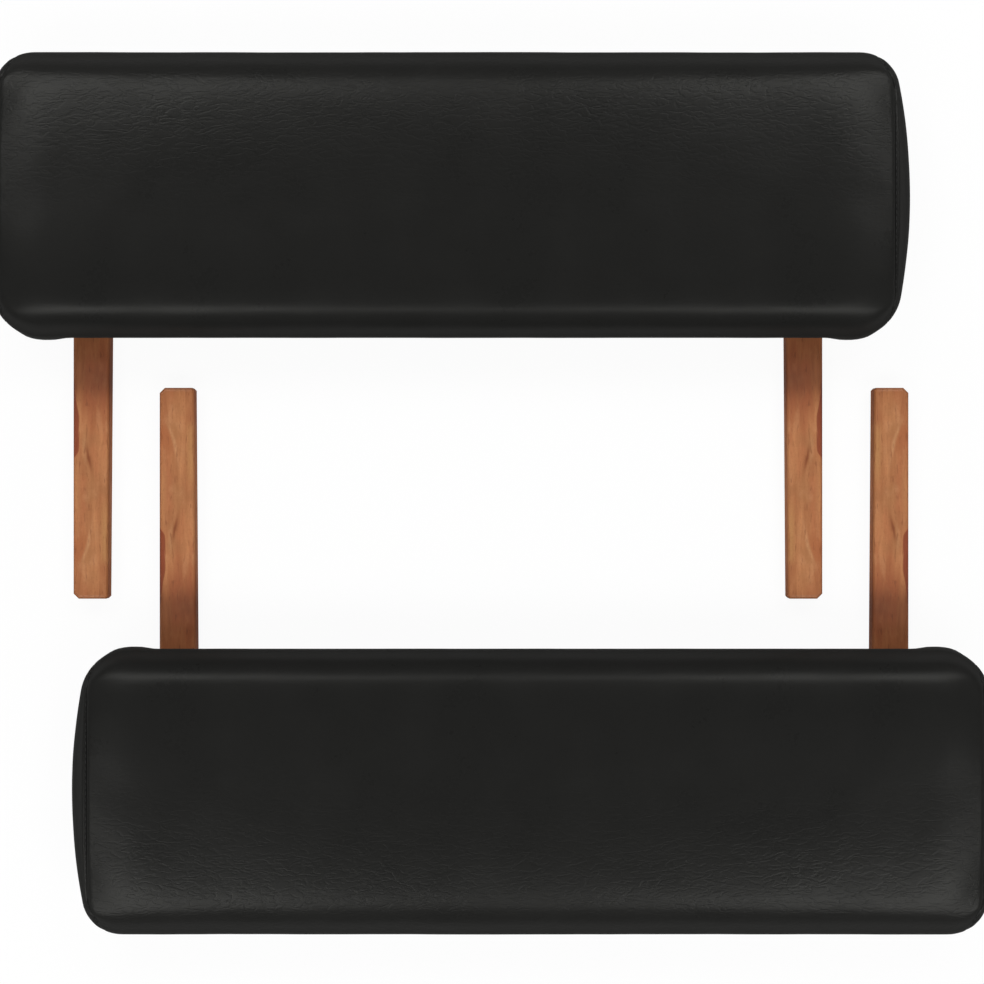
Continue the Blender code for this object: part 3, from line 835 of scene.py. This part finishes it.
def worked(operation, first, second=0.0):
    tree = next(value.id_data for value in (first, second) if isinstance(value, bpy.types.NodeSocket))
    return put(tree, "ShaderNodeMath", {0: first, 1: second}, operation=operation).outputs[0]


def times(first, *others):
    for other in others:
        first = worked("MULTIPLY", first, other)
    return first


def added(first, second):
    return worked("ADD", first, second)


def less(first, second):
    return worked("SUBTRACT", first, second)


def mixed(share, first, second, blend="MIX"):
    node = put(share.id_data, "ShaderNodeMix", {0: share, 6: first, 7: second}, data_type="RGBA",
               blend_type=blend)
    return node.outputs[2]


def ranged(value, low, high, to_low=0.0, to_high=1.0, smooth=False):
    node = put(value.id_data, "ShaderNodeMapRange",
               {"Value": value, "From Min": low, "From Max": high, "To Min": to_low, "To Max": to_high},
               interpolation_type="SMOOTHSTEP" if smooth else "LINEAR")
    return node.outputs[0]


def stretched(vector, scale, place=(0.0, 0.0, 0.0)):
    node = put(vector.id_data, "ShaderNodeMapping", {"Vector": vector, "Location": place, "Scale": scale})
    return node.outputs[0]


def parted(vector):
    """The X, Y and Z of a vector."""
    return put(vector.id_data, "ShaderNodeSeparateXYZ", {0: vector}).outputs


def grained(vector, scale, detail=3.0, roughness=0.5, distortion=0.0):
    node = put(vector.id_data, "ShaderNodeTexNoise",
               {"Vector": vector, "Scale": scale, "Detail": detail, "Roughness": roughness,
                "Distortion": distortion})
    return node.outputs["Fac"]


def celled(vector, scale, feature="F1", randomness=1.0):
    node = put(vector.id_data, "ShaderNodeTexVoronoi",
               {"Vector": vector, "Scale": scale, "Randomness": randomness}, feature=feature)
    return node.outputs["Distance"]


def bell(value, middle, spread):
    """A soft bump of 1 at the middle, falling off on both sides."""
    off = worked("DIVIDE", less(value, middle), spread)
    return worked("POWER", math.e, times(off, off, -1.0))


def rgb(red, green, blue):
    """A colour as it is seen on a screen, from 0 to 255, as the shader wants it."""
    def linear(level):
        level /= 255
        return level / 12.92 if level <= 0.04045 else ((level + 0.055) / 1.055) ** 2.4
    return linear(red), linear(green), linear(blue), 1.0


def effect(name, inputs, outputs):
    """An empty node group with named sockets, its inputs and its outputs."""
    tree = bpy.data.node_groups.new(name, "ShaderNodeTree")
    for socket, kind, value in inputs:
        made = tree.interface.new_socket(socket, in_out="INPUT", socket_type=kind)
        if value is not None:
            made.default_value = value
    for socket, kind in outputs:
        tree.interface.new_socket(socket, in_out="OUTPUT", socket_type=kind)
    return tree, tree.nodes.new("NodeGroupInput").outputs, tree.nodes.new("NodeGroupOutput").inputs


FLOAT, COLOUR, VECTOR = "NodeSocketFloat", "NodeSocketColor", "NodeSocketVector"


def mottling_effect():
    """Slow and fine unevenness, as of stain, dust and handling."""
    tree, given, result = effect(
        "mottling", [("Vector", VECTOR, None), ("Patch size", FLOAT, 0.05), ("Speck size", FLOAT, 0.002)],
        [("Patches", FLOAT), ("Specks", FLOAT)])
    for size, mask, roughness in (("Patch size", "Patches", 0.5), ("Speck size", "Specks", 0.6)):
        scale = worked("DIVIDE", 1.0, given[size])
        tree.links.new(grained(given["Vector"], scale, 2.0, roughness), result[mask])
    return tree


def leather_grain_effect():
    """Pressed grain of leatherette: pebbles, and short creases that run along the cushion."""
    tree, given, result = effect(
        "leather_grain",
        [("Vector", VECTOR, None), ("Pebble size", FLOAT, 0.0014), ("Crease strength", FLOAT, 0.6)],
        [("Height", FLOAT), ("Pits", FLOAT)])
    scale = worked("DIVIDE", 1.0, given["Pebble size"])
    wobble = put(tree, "ShaderNodeTexNoise", {"Vector": given["Vector"], "Scale": 420.0, "Detail": 1.0})
    shifted = put(tree, "ShaderNodeVectorMath", {0: wobble.outputs["Color"], 1: (0.0012, 0.0012, 0.0012)},
                  operation="MULTIPLY").outputs[0]
    warped = put(tree, "ShaderNodeVectorMath", {0: given["Vector"], 1: shifted},
                 operation="ADD").outputs[0]
    pebbles = celled(stretched(warped, (0.72, 1.0, 1.0)), scale, feature="SMOOTH_F1")
    creases = grained(stretched(warped, (95.0, 235.0, 235.0)), 1.0, 1.5, 0.5, 0.6)
    ridges = worked("ABSOLUTE", less(creases, 0.5))
    cuts = ranged(ridges, 0.0, 0.10, 1.0, 0.0, smooth=True)
    domes = times(less(1.0, pebbles), 0.3)
    tree.links.new(less(domes, times(cuts, given["Crease strength"])), result["Height"])
    tree.links.new(pebbles, result["Pits"])
    return tree


def beech_effect():
    """Colour of stained beech with a painted shadow over the root, by the way across a stick and along it
    from the cushion's middle.
    """
    tree, given, result = effect("stained_beech_figure_and_painted_shadow", [("Vector", VECTOR, None)],
                                 [("Colour", COLOUR), ("Pores", FLOAT), ("Stain", FLOAT)])
    x, y, z = parted(given["Vector"])
    across = less(worked("ABSOLUTE", x), STICK_X)
    along = times(y, -1.0)

    def laid(sideways):
        return put(tree, "ShaderNodeCombineXYZ", {0: sideways, 1: along, 2: z}).outputs[0]

    def cloudy(place, scale, start=(0.0, 0.0, 0.0), detail=2.0, roughness=0.5):
        return grained(stretched(place, scale, start), 1.0, detail, roughness)

    def spotted(scale, start, low, high, strength, detail=2.0):
        spots = cloudy(flat, scale, start, detail, 0.55)
        return ranged(spots, low, high, 0.0, strength, smooth=True)

    def shaken(value, mask, reach):
        return added(value, times(less(mask, 0.5), reach))

    def between(low, high, fall, end):
        return times(ranged(along, low, high, smooth=True),
                     ranged(along, fall, end, 1.0, 0.0, smooth=True))

    def patch(sideways, middle, spread, far, reach):
        return times(bell(sideways, middle, spread), bell(along, far, reach))

    flat = laid(across)
    swayed = laid(shaken(across, cloudy(flat, (40.0, 14.0, 40.0)), 0.012))
    streaks = cloudy(swayed, (230.0, 17.0, 200.0), detail=4.0, roughness=0.6)
    ragged = cloudy(flat, (500.0, 90.0, 400.0), (2.0, 0.7, 0.0), 3.0, 0.6)
    patches = cloudy(flat, (60.0, 40.0, 60.0), (1.3, 0.4, 0.0))
    pores = spotted((2300.0, 120.0, 2000.0), (0.0, 0.0, 0.0), 0.60, 0.72, 1.0)
    rough_across = shaken(across, ragged, 0.0024)

    widened = times(between(0.120, 0.158, 0.176, 0.1835), 0.0040)
    edge_gap = added(less(rough_across, EDGE_STREAK_ACROSS), widened)
    edge_streak = times(ranged(edge_gap, 0.0, 0.0010, 0.0, 0.90, smooth=True),
                        between(0.118, 0.132, 0.1795, 0.1845))
    flame_across = added(rough_across, times(less(along, 0.181), 0.20))
    ray_line = added(times(less(along, 0.2010), 0.135), -0.0030)
    past_bend = worked("MAXIMUM", less(along, 0.236), 0.0)
    ray_line = added(ray_line, times(past_bend, past_bend, 9.0))
    ray_gap = less(shaken(across, ragged, 0.0010), ray_line)
    red_patch = times(ranged(ray_gap, 0.0, 0.0020, smooth=True),
                      between(0.226, 0.244, 0.250, 0.262), 0.50)
    ray = times(bell(ray_gap, 0.0, 0.0012), between(0.218, 0.238, 0.248, 0.258),
                ranged(ragged, 0.30, 0.60, 0.10, 0.50))
    yellow = times(bell(across, -0.0085, 0.0022), between(0.205, 0.230, 0.250, 0.268), 0.40)
    # Darker towards the cushion: painted shadow of the cushion over the stick's root.
    painted_root_shadow = ranged(shaken(along, patches, 0.020), 0.128, 0.170, 1.0, 0.0, smooth=True)

    stains = (
        (spotted((95.0, 13.0, 90.0), (4.0, 2.0, 0.0), 0.48, 0.72, 0.50), (168, 94, 58)),
        (ranged(patches, 0.48, 0.70, 0.0, 0.40, smooth=True), (150, 100, 60)),
        (spotted((130.0, 60.0, 120.0), (7.0, 3.0, 0.0), 0.50, 0.75, 0.40, 4.0), (200, 145, 100)),
        (edge_streak, (132, 60, 34)),
        (patch(flame_across, 0.0026, 0.0015, 0.1815, 0.0085), (128, 68, 34)),
        (times(patch(rough_across, 0.0058, 0.0014, 0.172, 0.0060), 0.22), (214, 164, 116)),
        (red_patch, (168, 92, 52)),
        (ray, (206, 154, 108)),
        (yellow, (186, 140, 84)),
        (times(patch(rough_across, -0.0085, 0.0034, 0.2592, 0.0065), 0.55), (152, 84, 48)),
        (spotted((620.0, 95.0, 500.0), (3.0, 9.0, 0.0), 0.60, 0.70, 0.50), (124, 68, 38)),
        (times(pores, 0.35), (112, 64, 38)),
    )
    # Multiplied darkenings: the first two paint the cushion's shadow over the root, and the last darkens
    # the tip.
    painted_shadow_and_tip_darkening = (
        (times(painted_root_shadow, 0.85), (210, 190, 180)),
        (times(bell(along, 0.127, 0.0118), 0.66), (180, 168, 150)),
        (ranged(along, 0.258, 0.282, 0.0, 0.8, smooth=True), (228, 215, 205)),
    )
    colour = mixed(ranged(streaks, 0.30, 0.72), rgb(161, 100, 59), rgb(193, 132, 86))
    for layers, blend in ((stains, "MIX"), (painted_shadow_and_tip_darkening, "MULTIPLY")):
        for mask, tone in layers:
            colour = mixed(mask, colour, rgb(*tone), blend)
    tree.links.new(colour, result["Colour"])
    tree.links.new(pores, result["Pores"])
    tree.links.new(streaks, result["Stain"])
    return tree


def new_material(name):
    """A plain node material, its shader and the places on its object."""
    material = bpy.data.materials.new(name)
    material.use_nodes = True
    tree = material.node_tree
    place = put(tree, "ShaderNodeTexCoord").outputs["Object"]
    return material, tree.nodes["Principled BSDF"], place


def use(group, place, sizes=None):
    """The outputs of a shared effect at a place."""
    inputs = {"Vector": place, **(sizes or {})}
    return put(place.id_data, "ShaderNodeGroup", inputs, node_tree=group).outputs


def mottled(place, patch, speck):
    return use(MOTTLING, place, {"Patch size": patch, "Speck size": speck})


def coat(shader, colour, rough, height, strength, depth):
    """Colour, roughness and relief of a finish, linked to its shader."""
    tree = shader.id_data
    relief = put(tree, "ShaderNodeBump", {"Strength": strength, "Distance": depth, "Height": height})
    tree.links.new(colour, shader.inputs["Base Color"])
    tree.links.new(rough, shader.inputs["Roughness"])
    tree.links.new(relief.outputs[0], shader.inputs["Normal"])


def leatherette():
    material, shader, place = new_material("black_leatherette")
    grain = use(LEATHER_GRAIN, place, {"Pebble size": 0.0015, "Crease strength": 1.15})
    uneven = mottled(place, 0.045, 0.003)
    colour = mixed(uneven["Patches"], (0.0122, 0.0122, 0.0115, 1.0), (0.0144, 0.0144, 0.0136, 1.0))
    # Darker in the hollows between the pebbles: painted shade in the grain.
    pit_shade = ranged(grain["Pits"], 0.35, 0.75, 0.0, 0.5)
    colour = mixed(pit_shade, colour, (0.0114, 0.0114, 0.0109, 1.0))
    rough = added(ranged(uneven["Patches"], 0.25, 0.75, 0.24, 0.31),
                  times(uneven["Specks"], 0.04))
    edge_on = put(shader.id_data, "ShaderNodeLayerWeight", {"Blend": 0.5}).outputs["Facing"]
    rough = added(rough, ranged(edge_on, 0.22, 0.60, 0.0, 0.60))
    shader.inputs["Specular IOR Level"].default_value = 0.10
    shader.inputs["Specular Tint"].default_value = (1.0, 1.0, 0.95, 1.0)
    outer = ranged(parted(place)[1], -0.04, 0.07, 0.22, 1.0, smooth=True)
    coat(shader, colour, rough, times(grain["Height"], outer), 0.18, 0.00025)
    return material


def stick_wood(name, middle, turned):
    material, shader, place = new_material(name)
    tree = shader.id_data
    moved = put(tree, "ShaderNodeMapping", {
        "Vector": place, "Location": middle if turned else -middle,
        "Rotation": (0.0, 0.0, math.pi if turned else 0.0)}).outputs[0]
    # Beech figure, whose colour holds the painted shadow of the cushion over the root.
    figure = use(BEECH_FIGURE_AND_SHADOW, moved)
    specks = ranged(mottled(moved, 0.03, 0.0015)["Specks"], 0.45, 0.75, 0.0, 0.18)
    colour = mixed(specks, figure["Colour"], rgb(128, 74, 44))
    # Side faces, found by their facing, are darkened: painted shade. They are also made rougher.
    facing = parted(put(tree, "ShaderNodeNewGeometry").outputs["Normal"])[2]
    sides = ranged(worked("ABSOLUTE", facing), 0.30, 0.94, 1.0, 0.0)
    colour = mixed(sides, colour, rgb(222, 204, 186), "MULTIPLY")
    rough = added(ranged(figure["Stain"], 0.3, 0.7, 0.50, 0.40), times(sides, 0.5))
    shader.inputs["Specular IOR Level"].default_value = 0.30
    height = less(times(figure["Stain"], 0.4), figure["Pores"])
    coat(shader, colour, rough, height, 0.35, 0.00012)
    return material


def plywood():
    material, shader, place = new_material("plywood")
    layer = worked("FRACT", times(parted(place)[2], 333.0))
    grain = grained(stretched(place, (9.0, 160.0, 500.0)), 1.0, 3.0)
    uneven = mottled(place, 0.06, 0.002)
    colour = mixed(grain, rgb(186, 148, 104), rgb(222, 190, 144))
    colour = mixed(ranged(layer, 0.46, 0.54, 0.0, 0.4), colour, rgb(148, 108, 70))
    colour = mixed(ranged(uneven["Patches"], 0.5, 0.8, 0.0, 0.3), colour, rgb(170, 128, 86))
    coat(shader, colour, ranged(grain, 0.3, 0.7, 0.62, 0.78), grain, 0.3, 0.0002)
    return material


def foam():
    material, shader, place = new_material("polyurethane_foam")
    cells = celled(place, 900.0)
    uneven = mottled(place, 0.05, 0.0015)
    colour = mixed(ranged(cells, 0.2, 0.8), rgb(236, 226, 188), rgb(196, 180, 132))
    colour = mixed(ranged(uneven["Patches"], 0.4, 0.8, 0.0, 0.35), colour, rgb(206, 186, 130))
    coat(shader, colour, ranged(uneven["Specks"], 0.3, 0.7, 0.88, 0.97), cells, 0.5, 0.0006)
    return material


def lining_cloth():
    """Thin spun cloth with pressed points in rows."""
    material, shader, place = new_material("black_lining_cloth")
    points = celled(stretched(place, (420.0, 420.0, 1.0)), 1.0, randomness=0.15)
    fibres = grained(stretched(place, (900.0, 300.0, 300.0)), 1.0, 4.0, 0.7)
    colour = mixed(fibres, (0.010, 0.010, 0.011, 1.0), (0.030, 0.030, 0.032, 1.0))
    colour = mixed(ranged(points, 0.12, 0.28, 0.6, 0.0), colour, (0.008, 0.008, 0.009, 1.0))
    rough = ranged(mottled(place, 0.04, 0.001)["Specks"], 0.3, 0.7, 0.80, 0.95)
    height = added(ranged(points, 0.12, 0.30), times(fibres, 0.5))
    coat(shader, colour, rough, height, 0.6, 0.0003)
    return material


def sewing_thread():
    material, shader, place = new_material("black_sewing_thread")
    twist = grained(stretched(place, (2600.0, 2600.0, 2600.0)), 1.0, 1.0)
    colour = mixed(twist, (0.004, 0.004, 0.004, 1.0), (0.010, 0.010, 0.010, 1.0))
    coat(shader, colour, ranged(twist, 0.3, 0.7, 0.40, 0.60), twist, 0.5, 0.0001)
    return material


def zinc_steel(name, tone, rough):
    material, shader, place = new_material(name)
    uneven = mottled(place, 0.004, 0.0006)
    colour = mixed(uneven["Patches"], rgb(*[level - 14 for level in tone]), rgb(*tone))
    shader.inputs["Metallic"].default_value = 1.0
    handled = ranged(uneven["Specks"], 0.3, 0.7, rough - 0.06, rough + 0.08)
    coat(shader, colour, handled, uneven["Specks"], 0.15, 0.00005)
    return material


def pale_floor():
    """A white floor that keeps a faint shadow of what stands on it."""
    material, shader, place = new_material("pale_floor")
    tree = shader.id_data
    uneven = mottled(place, 0.8, 0.02)
    colour = mixed(uneven["Patches"], (0.90, 0.90, 0.90, 1.0), (0.93, 0.93, 0.93, 1.0))
    tree.links.new(colour, shader.inputs["Base Color"])
    shader.inputs["Roughness"].default_value = 0.9
    shader.inputs["Specular IOR Level"].default_value = 0.0
    white = put(tree, "ShaderNodeEmission", {"Color": (1.0, 1.0, 1.0, 1.0), "Strength": 1.0})
    path = put(tree, "ShaderNodeLightPath").outputs
    seen = worked("MAXIMUM", path["Is Glossy Ray"], path["Is Transmission Ray"])
    seen = worked("MAXIMUM", path["Is Camera Ray"], seen)
    surface = put(tree, "ShaderNodeMixShader", {
        0: times(seen, FLOOR_WHITE), 1: shader.outputs[0], 2: white.outputs[0]})
    tree.links.new(surface.outputs[0], tree.nodes["Material Output"].inputs["Surface"])
    return material


def paint(thing, material):
    thing.data.materials.clear()
    thing.data.materials.append(material)


def hang_softbox(name, size, power, place, aim, spread):
    lamp = bpy.data.lights.new(name, "AREA")
    lamp.shape = "RECTANGLE"
    lamp.size, lamp.size_y = size
    lamp.energy = power
    lamp.spread = spread
    box = bpy.data.objects.new(name, lamp)
    box.location = place
    box.rotation_euler = (Vector(aim) - Vector(place)).to_track_quat("-Z", "Y").to_euler()
    box.visible_camera = False
    bpy.context.scene.collection.objects.link(box)


def studio():
    """Camera, floor, softboxes along both sides and over the outer corners, and a dim room."""
    scene = bpy.context.scene
    scene.view_settings.view_transform = "Standard"
    camera = bpy.data.objects.new("camera", bpy.data.cameras.new("camera"))
    camera.data.lens = CAMERA_LENS
    camera.data.sensor_width = SENSOR_WIDTH
    camera.location = CAMERA_PLACE
    scene.collection.objects.link(camera)
    scene.camera = camera

    form = bmesh.new()
    bmesh.ops.create_circle(form, cap_ends=True, segments=64, radius=FLOOR_RADIUS)
    floor = bpy.data.objects.new("floor", finished(form, "floor"))
    floor.location.z = -FLOOR_DROP
    paint(floor, pale_floor())
    scene.collection.objects.link(floor)

    for across in (1, -1):
        for along in (1, -1):
            turned = Matrix.Diagonal((along, across, 1.0))
            hang_softbox("long_softbox", SOFTBOX_SIZE, SOFTBOX_POWER, turned @ SOFTBOX_PLACE,
                         turned @ SOFTBOX_AIM, SOFTBOX_SPREAD)
            hang_softbox("corner_softbox", CORNER_BOX_SIZE, CORNER_BOX_POWER, turned @ CORNER_BOX_PLACE,
                         turned @ CORNER_BOX_AIM, CORNER_BOX_SPREAD)

    world = bpy.data.worlds.new("studio_room")
    scene.world = world
    world.use_nodes = True
    tree = world.node_tree
    up = parted(put(tree, "ShaderNodeTexCoord").outputs["Generated"])[2]
    level = put(tree, "ShaderNodeValToRGB", {0: up})
    ramp = level.color_ramp
    ramp.elements.remove(ramp.elements[1])
    ramp.elements[0].color = (ROOM_LEVELS[0][1],) * 3 + (1.0,)
    for height, grey in ROOM_LEVELS[1:]:
        ramp.elements.new(height).color = (grey, grey, grey, 1.0)
    background = tree.nodes["Background"]
    tree.links.new(level.outputs[0], background.inputs["Color"])
    background.inputs["Strength"].default_value = 1.0


MOTTLING = mottling_effect()
LEATHER_GRAIN = leather_grain_effect()
BEECH_FIGURE_AND_SHADOW = beech_effect()
LEATHER = leatherette()
THREAD = sewing_thread()
FOAM_FINISH = foam()
LINING_FINISH = lining_cloth()
STAPLE_STEEL = zinc_steel("staple_steel", (196, 196, 192), 0.34)
ZINC = zinc_steel("zinc_plated_steel", (202, 203, 200), 0.32)
PLYWOOD = plywood()
WOODS = {
    "left": stick_wood("left_stick_beech", LEFT_MIDDLE, False),
    "right": stick_wood("right_stick_beech", RIGHT_MIDDLE, True),
}

studio()

SWELL_TREE, SWELL_PUSH = swelling_tree()
MAIN_GRID = main_panel()
END_GRID = end_panel()
SEAM = seam_line(MAIN_GRID[:, -1] + np.array((SEAM_GAP, 0.0, 0.0)))
MAIN_MESH = leather_mesh("main_cover", MAIN_GRID, dressed(MAIN_GRID, SEAM, 11))
END_POINTS = {"foot": dressed(END_GRID, SEAM, 11), "head": dressed(END_GRID, SEAM, 12)}
END_MESHES = {
    "foot": leather_mesh("foot_end_cover", END_GRID, END_POINTS["foot"]),
    "head": leather_mesh("head_end_cover", END_GRID, END_POINTS["head"], mirrored=True),
}
MOVED_SEAM = SEAM[0] + swell_of(SEAM[0])[:, None] * outward(SEAM[0])
THREAD_MESHES = {
    "foot": thread_mesh("foot_seam_thread", MOVED_SEAM, SEAM[1][-1], 21),
    "head": thread_mesh("head_seam_thread", MOVED_SEAM, SEAM[1][-1], 22, mirrored=True),
}
FOAM_MESH = foam_mesh()
LINING_MESH = lining_mesh()
STAPLES_MESH = staples_mesh()

PLACES = {
    "left": Matrix.Translation(LEFT_MIDDLE),
    "right": Matrix.Translation(RIGHT_MIDDLE) @ Matrix.Rotation(math.pi, 4, "Z"),
}
# The plus end of each armrest's own length, as the nodes name it
PLUS_ENDS = {"left": "foot", "right": "head"}


def place_piece(name, mesh, finish, side, slot, *nodes):
    piece = bpy.data.objects.new(name, mesh)
    if not mesh.materials:
        mesh.materials.append(finish)
    piece.matrix_world = PLACES[side]
    bpy.context.scene.collection.objects.link(piece)
    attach(piece, f"{side}_armrest")
    if nodes:
        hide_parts(*nodes)
    return piece


for side in ("left", "right"):
    plus = PLUS_ENDS[side]
    minus = "head" if plus == "foot" else "foot"
    block = place_piece(f"{side}_foam", FOAM_MESH, FOAM_FINISH, side, "polyurethane_foam",
                        f"{side}_foam_core")
    cover = place_piece(f"{side}_main_leather", MAIN_MESH, LEATHER, side, "black_leatherette",
                        f"{side}_main_cover")
    for end, kind in ((plus, "foot"), (minus, "head")):
        panel = place_piece(f"{side}_{end}_end_leather", END_MESHES[kind], LEATHER, side,
                            "black_leatherette", f"{side}_{end}_end_cover")
        stitches = place_piece(f"{side}_{end}_seam_thread", THREAD_MESHES[kind], THREAD, side,
                               "black_leatherette")
    under = place_piece(f"{side}_lining_cloth", LINING_MESH, LINING_FINISH, side, "black_lining_cloth",
                        f"{side}_lining")
    staples = place_piece(f"{side}_staples", STAPLES_MESH, STAPLE_STEEL, side, "zinc_plated_steel")
    paint(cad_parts[f"{side}_base_board"], PLYWOOD)
    for end in ("head", "foot"):
        paint(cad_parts[f"{side}_{end}_stick"], WOODS[side])
        for row in ("inner", "outer"):
            paint(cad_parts[f"{side}_{end}_{row}_bolt"], ZINC)
            paint(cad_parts[f"{side}_{end}_{row}_tee_nut"], ZINC)

bpy.context.view_layer.update()
